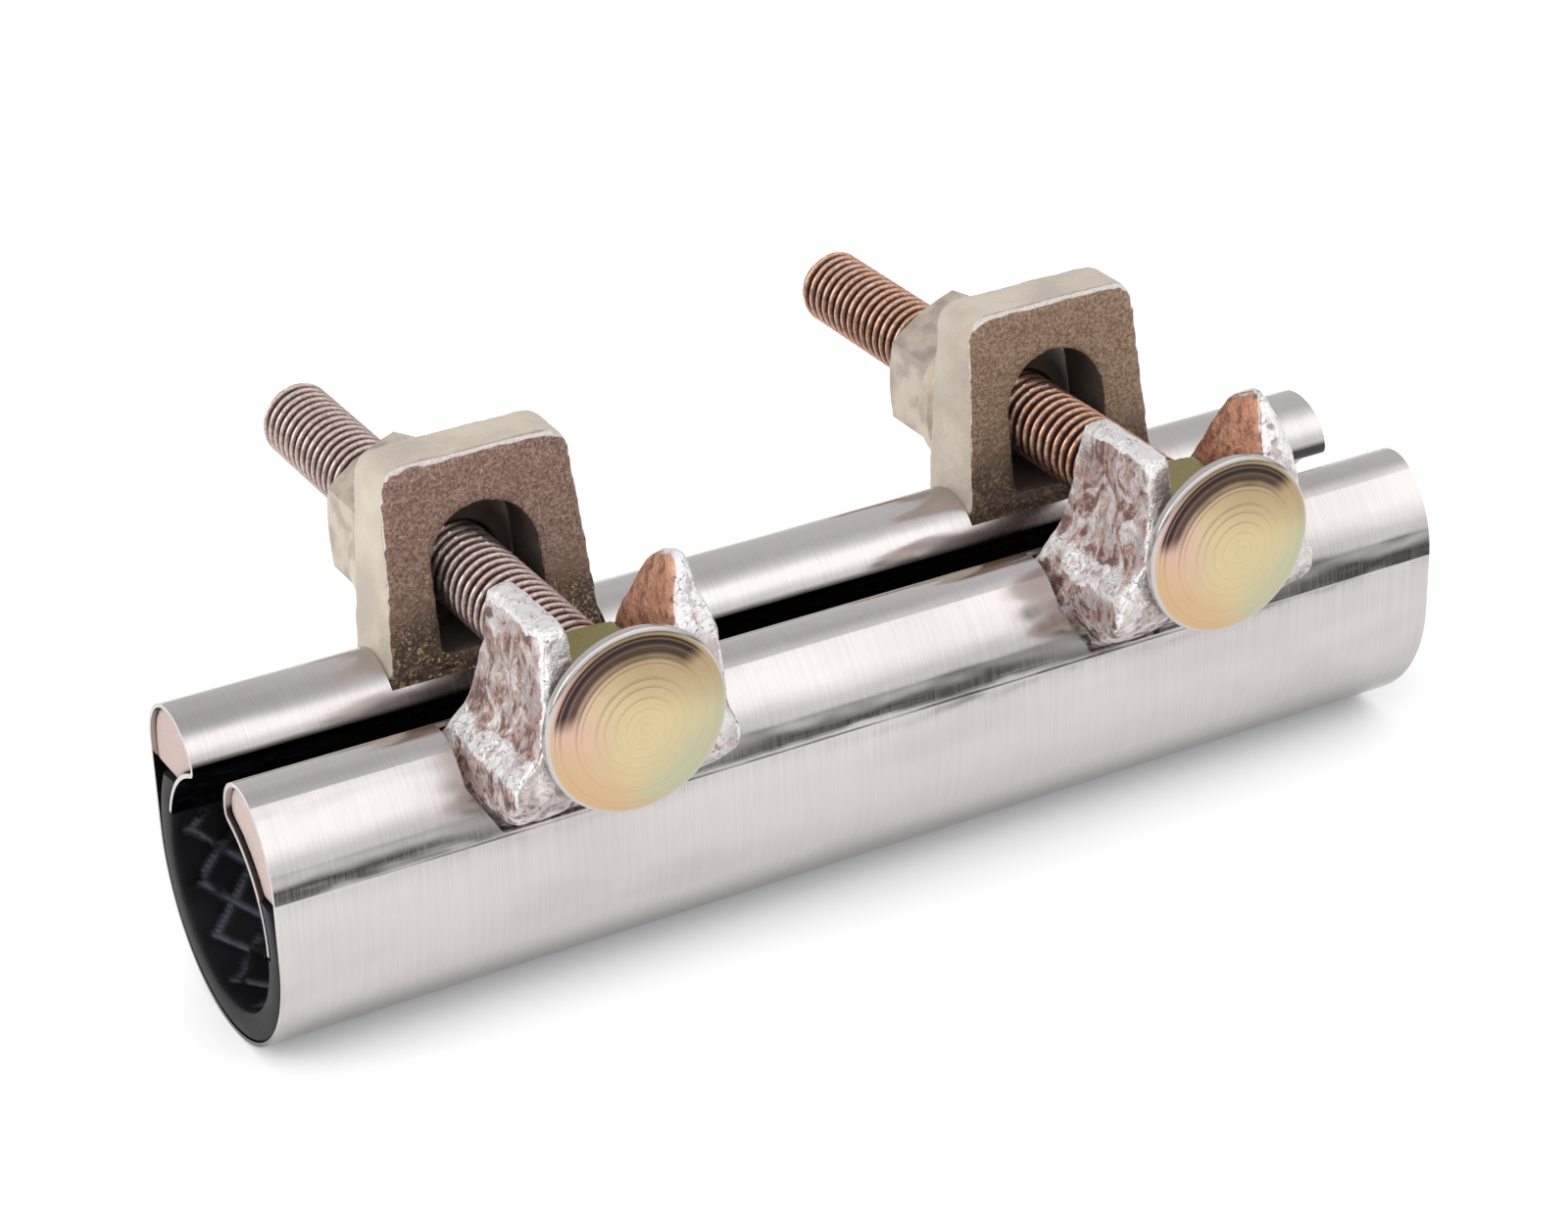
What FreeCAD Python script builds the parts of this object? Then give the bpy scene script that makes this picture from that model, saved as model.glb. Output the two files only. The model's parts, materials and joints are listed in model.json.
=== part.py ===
import FreeCAD, Part
import math
import os
from FreeCAD import Placement, Rotation, Vector

# Pipe repair clamp, millimetres.
# X runs along the pipe, the bolt heads face -Y, the nuts face +Y, and +Z is up.
# The origin is on the pipe's axis, half way along the clamp.

doc = FreeCAD.newDocument("pipe_repair_clamp")

# Driving dimensions
SIZES = {
    # pipe, gasket and band
    "clamp_length": 152.4,
    "pipe_radius": 13.35,
    "gasket_wall": 3.25,
    "band_sheet": 0.5,
    "piece_gap": 0.08,
    # rolled edges of the band: height over the pipe's axis, radii and turn of the shoulder
    "edge_top": 18.6,
    "bend_radius": 1.0,
    "lug_edge_shoulder": 6.6,
    "lug_edge_crown": 6.3,
    "lug_edge_turn": 60.0,
    "lug_tail_end": 4.2,
    "fork_edge_shoulder": 12.5,
    "fork_edge_crown": 4.6,
    "fork_edge_turn": 50.0,
    "fork_tail_end": -0.4,
    # cast bars
    "bar_inset": 0.5,
    "lug_bar_bottom": 9.2,
    "fork_bar_bottom": 6.4,
    "gasket_end_gap": 0.3,
    # bolts
    "bolt_spacing": 76.2,
    "bolt_height": 24.0,
    "shaft_radius": 4.7625,
    "bolt_length": 88.9,
    "tip_chamfer": 1.0,
    "head_radius": 10.8,
    "head_rim": 1.2,
    "head_dome_radius": 26.3,
    "head_dome_edge": 7.0,
    "neck_width": 9.5,
    "neck_length": 13.0,
    "neck_corner": 0.6,
    "fork_seat": 26.8,
    "seat_gap": 0.15,
    # lugs
    "lug_rear": 16.3,
    "lug_foot_front": 5.6,
    "lug_top_front": 9.2,
    "lug_top": 41.0,
    "lug_half_top": 11.7,
    "lug_half_foot": 13.2,
    "lug_foot_top": 18.5,
    "lug_root_depth": 8.0,
    "lug_root_low": 14.2,
    "lug_root_front": 16.6,
    "lug_corner": 3.2,
    "lug_foot_round": 3.0,
    "lug_edge_round": 1.0,
    "slot_half": 6.5,
    "slot_top": 34.3,
    "slot_floor": 18.2,
    # domed washers and nuts
    "dome_radius": 12.0,
    "dome_seat_radius": 7.6,
    "dome_edge": 9.0,
    "washer_nose": 6.6,
    "washer_radius": 10.8,
    "washer_rim": 2.6,
    "washer_play": 0.35,
    "nut_flats": 17.4625,
    "nut_height": 10.0,
    "nut_face_inset": 0.4,
    "nut_bore_play": 0.05,
    "nut_chamfer_angle": 30.0,
    "nut_gap": 0.1,
    # forks
    "prong_inner": 5.05,
    "prong_front_half": 10.9,
    "prong_foot_half": 14.3,
    "prong_foot_low": 14.1,
    "prong_foot_top": 18.9,
    "fork_rear": 8.6,
    "fork_base_front": 20.0,
    "web_inset": 1.0,
    "block_top": 35.6,
    "fin_top": 39.4,
    # windows of the band, which the castings stand in
    "window_gap": 0.35,
    "window_corner": 1.0,
    "fork_window_low": 8.2,
    "lug_window_low": 12.4,
}

sheet = doc.addObject("Spreadsheet::Sheet", "sizes")
for row, (alias, value) in enumerate(SIZES.items(), start=1):
    sheet.set("A%d" % row, alias)
    sheet.set("B%d" % row, "%.6g" % value)
    sheet.setAlias("B%d" % row, alias)
doc.recompute()


def size(alias):
    """The sheet's value of one named size."""
    return float(sheet.get(alias))


def dome_rise(radius, edge, outer):
    """How far a dome falls back from its top: a ball to the edge, then a straight slope to the rim."""
    return radius - math.sqrt(radius ** 2 - edge ** 2) + (outer - edge) * math.tan(math.asin(edge / radius))


# Sizes worked out from the driving ones
pipe_radius = size("pipe_radius")
band_sheet = size("band_sheet")
piece_gap = size("piece_gap")
half_sheet = band_sheet / 2
gasket_outer = pipe_radius + size("gasket_wall")
band_inner = gasket_outer + piece_gap
band_middle = band_inner + half_sheet
band_outer = band_inner + band_sheet
tail_middle = pipe_radius + piece_gap + half_sheet
bar_cover = half_sheet + piece_gap
shaft_radius = size("shaft_radius")
bolt_height = size("bolt_height")
head_under = size("fork_seat") + size("seat_gap")
dome_centre = size("lug_rear") + math.sqrt(size("dome_radius") ** 2 - size("dome_seat_radius") ** 2)
washer_front_rim = dome_centre - size("dome_radius") + dome_rise(
    size("dome_radius"), size("dome_edge"), size("washer_radius"))
washer_back = washer_front_rim + size("washer_rim")
nut_front = washer_back + size("nut_gap")
BOLT_PLACES = {"left": -size("bolt_spacing") / 2, "right": size("bolt_spacing") / 2}

# Places of a sketch: in the section across the pipe (Y, Z) and in the front view (X, Z)
SECTION_TURN = Rotation(Vector(1, 1, 1), 120)
FRONT_TURN = Rotation(Vector(1, 0, 0), 90)


def point(u, v):
    return Vector(u, v, 0)


def line(start, end):
    return Part.LineSegment(point(*start), point(*end))


def on_circle(radius, angle):
    """The point of a circle about the pipe's axis at an angle in degrees."""
    return radius * math.cos(math.radians(angle)), radius * math.sin(math.radians(angle))


def arc(centre, radius, start, end):
    """Arc about centre between two angles in degrees, in either sense."""
    low, high = min(start, end), max(start, end)
    circle = Part.Circle(point(*centre), Vector(0, 0, 1), radius)
    return Part.ArcOfCircle(circle, math.radians(low), math.radians(high))


def rounded(corners):
    """Closed outline through corners (u, v, radius); a radius of 0 leaves a corner sharp."""
    count = len(corners)
    starts, ends, arcs = [], [], []
    for index, (u, v, radius) in enumerate(corners):
        here = point(u, v)
        before = (point(*corners[index - 1][:2]) - here).normalize()
        after = (point(*corners[(index + 1) % count][:2]) - here).normalize()
        half = before.getAngle(after) / 2
        run = radius / math.tan(half)
        start, end = here + before * run, here + after * run
        starts.append(start)
        ends.append(end)
        if radius:
            middle = here + (before + after).normalize() * (radius / math.sin(half) - radius)
            arcs.append(Part.Arc(start, middle, end))
    sides = [Part.LineSegment(ends[index - 1], starts[index]) for index in range(count)]
    return sides + arcs


def free_sketch(name, outline, turn, base=Vector()):
    """A sketch that stands by itself, for an extrusion."""
    sketch = doc.addObject("Sketcher::SketchObject", name)
    sketch.addGeometry(outline)
    sketch.Placement = Placement(base, turn)
    return sketch


def extrusion(name, outline, turn, base, length, expression=None):
    """A solid drawn out of an outline along its sketch's own normal."""
    solid = doc.addObject("Part::Extrusion", name)
    solid.Base = free_sketch(name + "_outline", outline, turn, base)
    solid.DirMode = "Normal"
    solid.Solid = True
    solid.LengthFwd = length
    if expression:
        solid.setExpression("LengthFwd", expression)
    return solid


def boolean(kind, name, shapes):
    """Part::MultiFuse or Part::MultiCommon of several solids."""
    result = doc.addObject("Part::" + kind, name)
    result.Shapes = shapes
    result.Refine = True
    return result


def cut(name, base, tool):
    result = doc.addObject("Part::Cut", name)
    result.Base = base
    result.Tool = tool
    result.Refine = True
    return result


def new_body(label):
    body = doc.addObject("PartDesign::Body", label)
    body.Label = label
    return body


def body_sketch(body, name, role, outline, offset=None):
    """A sketch on one of the body's own origin planes, moved along its normal by an expression."""
    sketch = body.newObject("Sketcher::SketchObject", name)
    plane = [feature for feature in body.Origin.OriginFeatures if feature.Role == role][0]
    sketch.AttachmentSupport = (plane, [""])
    sketch.MapMode = "FlatFace"
    sketch.addGeometry(outline)
    if offset:
        sketch.setExpression("AttachmentOffset.Base.z", offset)
    return sketch


def pad(body, name, sketch, expression, symmetric=False, reverse=False):
    feature = body.newObject("PartDesign::Pad", name)
    feature.Profile = sketch
    feature.SideType = "Symmetric" if symmetric else "One side"
    feature.Reversed = reverse
    feature.setExpression("Length", expression)
    return feature


def pocket(body, name, sketch, expression, reverse=False):
    feature = body.newObject("PartDesign::Pocket", name)
    feature.Profile = sketch
    feature.Reversed = reverse
    feature.setExpression("Length", expression)
    doc.recompute()
    return feature


def revolve(body, name, sketch):
    """A full turn of the sketch about its own horizontal axis."""
    feature = body.newObject("PartDesign::Revolution", name)
    feature.Profile = sketch
    feature.ReferenceAxis = (sketch, ["H_Axis"])
    feature.Angle = 360
    return feature


# Rolled edges: the sheet's middle line as arcs in (u, v), u outwards from the pipe's axis, v up
def edge_arcs(prefix, tail_end):
    """Shoulder, crown, bend and tail of one rolled edge, each as centre, radius and two angles."""
    shoulder = size(prefix + "_shoulder")
    crown = size(prefix + "_crown")
    turn = size(prefix + "_turn")
    bend = size("bend_radius")
    rise = (shoulder - crown) * math.sin(math.radians(turn))
    wall_top = size("edge_top") - half_sheet - crown - rise
    shoulder_centre = (band_middle - shoulder, wall_top)
    crown_centre = (shoulder_centre[0] + (shoulder - crown) * math.cos(math.radians(turn)), wall_top + rise)
    # the bend lies inside the crown and against the tail, so its centre is where two circles meet
    reach = math.hypot(*crown_centre)
    near, far = crown - bend, tail_middle + bend
    along = (far ** 2 - near ** 2 + reach ** 2) / (2 * reach)
    aside = math.sqrt(far ** 2 - along ** 2)
    unit = (crown_centre[0] / reach, crown_centre[1] / reach)
    bend_centre = (along * unit[0] - aside * unit[1], along * unit[1] + aside * unit[0])
    aim = (bend_centre[0] - crown_centre[0], bend_centre[1] - crown_centre[1])
    to_bend = math.degrees(math.atan2(aim[1], aim[0])) % 360
    tail_start = math.degrees(math.atan2(bend_centre[1], bend_centre[0]))
    return {
        "wall_top": wall_top,
        "shoulder": (shoulder_centre, shoulder, 0, turn),
        "crown": (crown_centre, crown, turn, to_bend),
        "bend": (bend_centre, bend, to_bend, tail_start + 180),
        "tail": ((0, 0), tail_middle, tail_start, math.degrees(math.asin(tail_end / tail_middle))),
    }


LUG_EDGE = edge_arcs("lug_edge", size("lug_tail_end"))
FORK_EDGE = edge_arcs("fork_edge", size("fork_tail_end"))


def mirrored(curves):
    """The same curves on the other side of the pipe, where u points to -Y."""
    flipped = []
    for curve in curves:
        first, last = curve.FirstParameter, curve.LastParameter
        points = [curve.value(t) for t in (first, (first + last) / 2, last)]
        start, middle, end = (Vector(-p.x, p.y, 0) for p in points)
        straight = isinstance(curve, Part.LineSegment)
        flipped.append(Part.LineSegment(start, end) if straight else Part.Arc(start, middle, end))
    return flipped


def sheet_face(edge, side):
    """One face of the rolled edge, half a sheet outside (+1) or inside (-1) of its middle line."""
    shift = side * half_sheet
    wall_radius = band_middle + shift
    curves = [line((wall_radius, 0), (wall_radius, edge["wall_top"]))]
    for name in ("shoulder", "crown", "bend"):
        centre, radius, start, end = edge[name]
        curves.append(arc(centre, radius + shift, start, end))
    centre, radius, start, end = edge["tail"]
    curves.append(arc(centre, radius - shift, start, end))
    return curves


def tail_end(edge):
    """The cut end of the sheet."""
    end = edge["tail"][3]
    return line(on_circle(tail_middle - half_sheet, end), on_circle(tail_middle + half_sheet, end))


def band_outline():
    curves = sheet_face(LUG_EDGE, 1) + sheet_face(LUG_EDGE, -1) + [tail_end(LUG_EDGE)]
    curves += mirrored(sheet_face(FORK_EDGE, 1) + sheet_face(FORK_EDGE, -1) + [tail_end(FORK_EDGE)])
    for radius in (band_outer, band_inner):
        curves.append(arc((0, 0), radius, 180, 360))
    return curves


def bar_outline(edge, bottom):
    """Section of a cast bar: it fills the rolled edge, a small gap inside the sheet."""
    wall = band_middle - bar_cover
    tail_face = tail_middle + bar_cover
    curves = [line((wall, bottom), (wall, edge["wall_top"]))]
    for name in ("shoulder", "crown", "bend"):
        centre, radius, start, end = edge[name]
        curves.append(arc(centre, radius - bar_cover, start, end))
    low = math.degrees(math.asin(bottom / tail_face))
    curves.append(arc((0, 0), tail_face, edge["tail"][2], low))
    curves.append(line(on_circle(tail_face, low), (wall, bottom)))
    return curves


# Forks
prong_inner = size("prong_inner")
front_half = size("prong_front_half")
foot_half = size("prong_foot_half")
foot_low = size("prong_foot_low")
foot_top = size("prong_foot_top")
block_top = size("block_top")
fin_top = size("fin_top")
fork_seat = size("fork_seat")
fork_rear = size("fork_rear")
base_low = size("fork_window_low") + size("window_gap")
base_front = size("fork_base_front")
slot_floor = size("slot_floor")

# Corners of the prongs seen from the front: across from the bolt, up, rounding
BLOCK_FRONT = [
    (-prong_inner, base_low, 0), (-front_half, base_low, 0.8),
    (-foot_half, foot_low, 1.0), (-foot_half, foot_top, 1.0),
    (-11.2, 22.0, 2.0), (-9.9, 28.5, 4.0), (-9.6, block_top, 1.2), (-prong_inner, block_top + 0.4, 0.8),
]
FIN_FRONT = [
    (prong_inner, base_low, 0), (front_half, base_low, 0.8),
    (foot_half, foot_low, 1.0), (foot_half, foot_top, 1.0),
    (12.6, 22.5, 2.0), (12.2, 33.0, 4.0), (10.6, fin_top, 1.3), (8.6, fin_top - 1.4, 0.9),
    (6.3, 31.5, 3.0), (prong_inner, 26.0, 3.0),
]
# Corners of their sections: forward from the pipe's axis, up, rounding
FORK_FOOT = [
    (15.0, base_low, 0), (band_outer + 0.2, base_low, 0.6), (22.6, 11.6, 2.0), (fork_seat, 15.8, 1.6),
]
BLOCK_SECTION = [(fork_rear, 14.0, 0)] + FORK_FOOT + [
    (fork_seat, 24.4, 4.0), (25.0, block_top, 1.6), (11.0, block_top + 1.2, 1.8), (fork_rear, 25.0, 5.0),
]
FIN_SECTION = [(fork_rear, 14.0, 0)] + FORK_FOOT + [
    (fork_seat, 24.4, 4.0), (25.5, 30.5, 3.0), (19.8, fin_top, 1.8), (14.6, fin_top - 3.2, 2.0),
    (10.6, 27.0, 3.0), (fork_rear, 19.0, 2.0),
]
WEB_SECTION = [
    (fork_rear, 12.0, 0), (15.0, base_low, 0), (band_outer + 0.2, base_low, 0.6), (base_front, 11.4, 1.5),
    (base_front + 0.6, slot_floor, 1.5), (fork_rear, slot_floor, 0),
]


def turned_front(corners):
    """Section corners drawn with u to the front, as (Y, Z, rounding)."""
    return [(-u, v, radius) for u, v, radius in corners]


def prong(name, bolt_x, front, section):
    """One prong: what its front view and its section have in common."""
    front_view = extrusion(name + "_front", rounded(front), FRONT_TURN, Vector(bolt_x, 0, 0), 2 * fork_seat)
    side_view = extrusion(
        name + "_side", rounded(turned_front(section)), SECTION_TURN,
        Vector(bolt_x - foot_half, 0, 0), 2 * foot_half)
    return boolean("MultiCommon", name, [front_view, side_view])


def windows(corners):
    """The same window at both bolts, in the front view."""
    curves = []
    for bolt_x in BOLT_PLACES.values():
        curves += rounded([(bolt_x + x, z, radius) for x, z, radius in corners])
    return curves


def make_band():
    """Stainless band: one strip round the pipe, its edges rolled over, with windows for the castings."""
    body = new_body("stainless_band")
    section = body_sketch(body, "band_section", "YZ_Plane", band_outline())
    pad(body, "band_strip", section, "sizes.clamp_length", symmetric=True)
    gap, corner, low = size("window_gap"), size("window_corner"), size("fork_window_low")
    front, foot = front_half + gap, foot_half + gap
    over = 2 * size("edge_top")
    fork_corners = [
        (-front, low, corner), (front, low, corner), (foot, foot_low, 0), (foot, over, 0), (-foot, over, 0),
        (-foot, foot_low, 0),
    ]
    outline = body_sketch(
        body, "fork_windows", "XZ_Plane", windows(fork_corners), "sizes.fork_rear - sizes.window_gap")
    pocket(body, "fork_window_cut", outline, "sizes.fork_seat", reverse=True)
    half, low = size("lug_half_foot") + gap, size("lug_window_low")
    lug_corners = [(-half, low, corner), (half, low, corner), (half, over, 0), (-half, over, 0)]
    outline = body_sketch(
        body, "lug_windows", "XZ_Plane", windows(lug_corners), "-(sizes.lug_foot_front - sizes.window_gap)")
    pocket(body, "lug_window_cut", outline, "sizes.fork_seat")
    return body


def gasket_end(bottom, tail_low):
    """One end of the gasket's section: it steps down to lie under the bar and stops at the band's tail."""
    tail_face = tail_middle + bar_cover
    top, step = bottom - size("gasket_end_gap"), tail_low - size("gasket_end_gap")
    outer_high, face_high = (math.degrees(math.asin(top / radius)) for radius in (gasket_outer, tail_face))
    face_low, inner_low = (math.degrees(math.asin(step / radius)) for radius in (tail_face, pipe_radius))
    curves = [
        arc((0, 0), gasket_outer, inner_low, outer_high),
        line(on_circle(gasket_outer, outer_high), on_circle(tail_face, face_high)),
        arc((0, 0), tail_face, face_high, face_low),
        line(on_circle(tail_face, face_low), on_circle(pipe_radius, inner_low)),
    ]
    return curves, inner_low


def make_gasket():
    """Rubber gasket: a round sheet inside the band, thinner where the band's tails lie on the pipe."""
    lug_end, lug_low = gasket_end(size("lug_bar_bottom"), size("lug_tail_end"))
    fork_end, fork_low = gasket_end(size("fork_bar_bottom"), size("fork_tail_end"))
    outline = lug_end + mirrored(fork_end)
    outline += [arc((0, 0), radius, 180 - fork_low, 360 + lug_low) for radius in (gasket_outer, pipe_radius)]
    body = new_body("rubber_gasket")
    section = body_sketch(body, "gasket_section", "YZ_Plane", outline)
    pad(body, "gasket_strip", section, "sizes.clamp_length", symmetric=True)
    return body


def cast_bar(name, outline):
    """The bar of a casting, along the whole rolled edge."""
    length = size("clamp_length") - 2 * size("bar_inset")
    return extrusion(
        name, outline, SECTION_TURN, Vector(-length / 2, 0, 0), length,
        "sizes.clamp_length - 2 * sizes.bar_inset")


def make_fork_bar():
    """Front casting: a bar with two forks, each a block prong, a fin prong and the web between them."""
    shapes = [cast_bar("fork_bar_rod", mirrored(bar_outline(FORK_EDGE, size("fork_bar_bottom"))))]
    web_half = front_half - size("web_inset")
    for side, bolt_x in BOLT_PLACES.items():
        shapes.append(prong("block_prong_" + side, bolt_x, BLOCK_FRONT, BLOCK_SECTION))
        shapes.append(prong("fin_prong_" + side, bolt_x, FIN_FRONT, FIN_SECTION))
        shapes.append(extrusion(
            "fork_web_" + side, rounded(turned_front(WEB_SECTION)), SECTION_TURN,
            Vector(bolt_x - web_half, 0, 0), 2 * web_half))
    return boolean("MultiFuse", "fork_bar", shapes)


def make_lug_bar():
    """Rear casting: a bar with two square lugs, each with an arched slot and a round seat behind it."""
    top, rear, low = size("lug_top"), size("lug_rear"), size("lug_root_low")
    half_top, half_foot, foot = size("lug_half_top"), size("lug_half_foot"), size("lug_foot_top")
    corner, foot_round, edge_round = size("lug_corner"), size("lug_foot_round"), size("lug_edge_round")
    view = [
        (-half_foot, low, 0), (half_foot, low, 0), (half_foot, foot, foot_round), (half_top, top, corner),
        (-half_top, top, corner), (-half_foot, foot, foot_round),
    ]
    section = [
        (size("lug_root_depth"), low, 0), (rear, low, 0), (rear, top, edge_round),
        (size("lug_top_front"), top, edge_round),
        (size("lug_foot_front"), size("lug_root_front"), edge_round),
    ]
    slot_half = size("slot_half")
    arch = size("slot_top") - slot_half
    slot = [
        arc((0, arch), slot_half, 0, 180),
        line((-slot_half, arch), (-slot_half, slot_floor)),
        line((-slot_half, slot_floor), (slot_half, slot_floor)),
        line((slot_half, slot_floor), (slot_half, arch)),
    ]
    shapes = [cast_bar("lug_bar_rod", bar_outline(LUG_EDGE, size("lug_bar_bottom")))]
    hollows = []
    for side, bolt_x in BOLT_PLACES.items():
        behind = Vector(bolt_x, 2 * rear, 0)
        front_view = extrusion("lug_front_" + side, rounded(view), FRONT_TURN, behind, 2 * rear)
        side_view = extrusion(
            "lug_side_" + side, rounded(section), SECTION_TURN, Vector(bolt_x - half_foot, 0, 0),
            2 * half_foot)
        shapes.append(boolean("MultiCommon", "lug_" + side, [front_view, side_view]))
        hollows.append(extrusion("lug_slot_" + side, slot, FRONT_TURN, behind, 2 * rear))
        seat = doc.addObject("Part::Sphere", "dome_seat_" + side)
        seat.setExpression("Radius", "sizes.dome_radius + sizes.seat_gap")
        seat.Placement = Placement(Vector(bolt_x, dome_centre, bolt_height), Rotation())
        hollows.append(seat)
    solid = boolean("MultiFuse", "lug_bar_solid", shapes)
    return cut("lug_bar", solid, boolean("MultiFuse", "lug_hollows", hollows))


def place_on_bolt(body, bolt_x, sign):
    """Sets a body on one bolt's axis."""
    body.Placement = Placement(Vector(bolt_x, 0, bolt_height), Rotation())
    body.setExpression("Placement.Base.x", "%s sizes.bolt_spacing / 2" % sign)
    body.setExpression("Placement.Base.z", "sizes.bolt_height")


def make_bolt(label, bolt_x, sign):
    """Bolt: shallow domed round head, square neck and round shaft, turned about Y."""
    body = new_body(label)
    head_radius, rim = size("head_radius"), size("head_rim")
    dome, edge = size("head_dome_radius"), size("head_dome_edge")
    under, tip = -head_under, -head_under + size("bolt_length")
    chamfer = size("tip_chamfer")
    top = under - rim - dome_rise(dome, edge, head_radius)
    half_angle = math.degrees(math.asin(edge / dome))
    edge_place = top + dome_rise(dome, edge, edge)
    profile = [
        line((top, 0), (tip, 0)),
        line((tip, 0), (tip, shaft_radius - chamfer)),
        line((tip, shaft_radius - chamfer), (tip - chamfer, shaft_radius)),
        line((tip - chamfer, shaft_radius), (under, shaft_radius)),
        line((under, shaft_radius), (under, head_radius)),
        line((under, head_radius), (under - rim, head_radius)),
        line((under - rim, head_radius), (edge_place, edge)),
        arc((top + dome, 0), dome, 180 - half_angle, 180),
    ]
    revolve(body, "turned_" + label, body_sketch(body, "profile_" + label, "YZ_Plane", profile))
    half, corner = size("neck_width") / 2, size("neck_corner")
    square = [(u * half, v * half, corner) for u, v in ((-1, -1), (1, -1), (1, 1), (-1, 1))]
    neck = body_sketch(
        body, "neck_outline_" + label, "XZ_Plane", rounded(square), "sizes.fork_seat + sizes.seat_gap")
    pad(body, "neck_" + label, neck, "sizes.neck_length", reverse=True)
    place_on_bolt(body, bolt_x, sign)
    return body


def make_washer(label, bolt_x, sign):
    """Washer: a nose of two slopes that stay inside the seat's ball, and flat to the nut."""
    body = new_body(label)
    bore, radius = shaft_radius + size("washer_play"), size("washer_radius")
    dome, nose, edge = size("dome_radius"), size("washer_nose"), size("dome_edge")
    nose_place, edge_place = (dome_centre - math.sqrt(dome ** 2 - reach ** 2) for reach in (nose, edge))
    profile = rounded([
        (nose_place, bore, 0), (nose_place, nose, 0), (edge_place, edge, 0), (washer_front_rim, radius, 0),
        (washer_back, radius, 0), (washer_back, bore, 0),
    ])
    revolve(body, "turned_" + label, body_sketch(body, "profile_" + label, "YZ_Plane", profile))
    place_on_bolt(body, bolt_x, sign)
    return body


def make_nut(label, bolt_x, sign):
    """Nut: a hexagon with a vertex up, drawn along Y, with its outer corners turned off."""
    body = new_body(label)
    reach, inset = size("nut_flats") / math.sqrt(3), size("nut_face_inset")
    hexagon = []
    for index in range(6):
        angle = math.radians(60 * index)
        hexagon.append((reach * math.sin(angle), reach * math.cos(angle), 0))
    outline = rounded(hexagon)
    outline.append(Part.Circle(point(0, 0), Vector(0, 0, 1), shaft_radius + size("nut_bore_play")))
    flats = body_sketch(body, "hexagon_" + label, "XZ_Plane", outline)
    flats.AttachmentOffset = Placement(Vector(0, 0, -nut_front), Rotation())
    pad(body, "block_" + label, flats, "sizes.nut_height", reverse=True)
    doc.recompute()
    back, inner, outside = nut_front + size("nut_height"), size("nut_flats") / 2, 2 * reach
    fall = (outside - inner) * math.tan(math.radians(size("nut_chamfer_angle")))
    corners = [
        (back, inner - inset, 0), (back - fall, outside, 0), (2 * back, outside, 0),
        (2 * back, inner - inset, 0),
    ]
    groove = body.newObject("PartDesign::Groove", "turned_corners_" + label)
    groove.Profile = body_sketch(body, "corner_cut_" + label, "YZ_Plane", rounded(corners))
    groove.ReferenceAxis = (groove.Profile[0], ["H_Axis"])
    groove.Angle = 360
    place_on_bolt(body, bolt_x, sign)
    return body


parts = [make_band(), make_gasket(), make_fork_bar(), make_lug_bar()]
for side, bolt_x in BOLT_PLACES.items():
    sign = "-" if side == "left" else "+"
    parts.append(make_bolt("bolt_" + side, bolt_x, sign))
    parts.append(make_washer("washer_" + side, bolt_x, sign))
    parts.append(make_nut("nut_" + side, bolt_x, sign))
doc.recompute()

for item in doc.Objects:
    if "Invalid" in item.State or "Error" in item.State:
        raise RuntimeError("%s did not build: %s" % (item.Name, item.State))
for item in parts:
    if item.Shape.isNull() or not item.Shape.isValid() or len(item.Shape.Solids) != 1:
        raise RuntimeError("%s is not one sound solid" % item.Label)

os.makedirs("parts", exist_ok=True)
for item in parts:
    item.Shape.exportStep("parts/%s.step" % item.Label)
    print("%-16s %10.1f mm3" % (item.Label, item.Shape.Volume), item.Shape.BoundBox)
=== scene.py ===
"""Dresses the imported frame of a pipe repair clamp: band, gasket, castings, bolts, washers, nuts and stage.

Lengths are metres. X runs along the pipe, the bolt heads face -Y, the nuts +Y, and +Z is up.
The origin is on the pipe's axis, half way along the clamp.
"""

import json
import math

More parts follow.
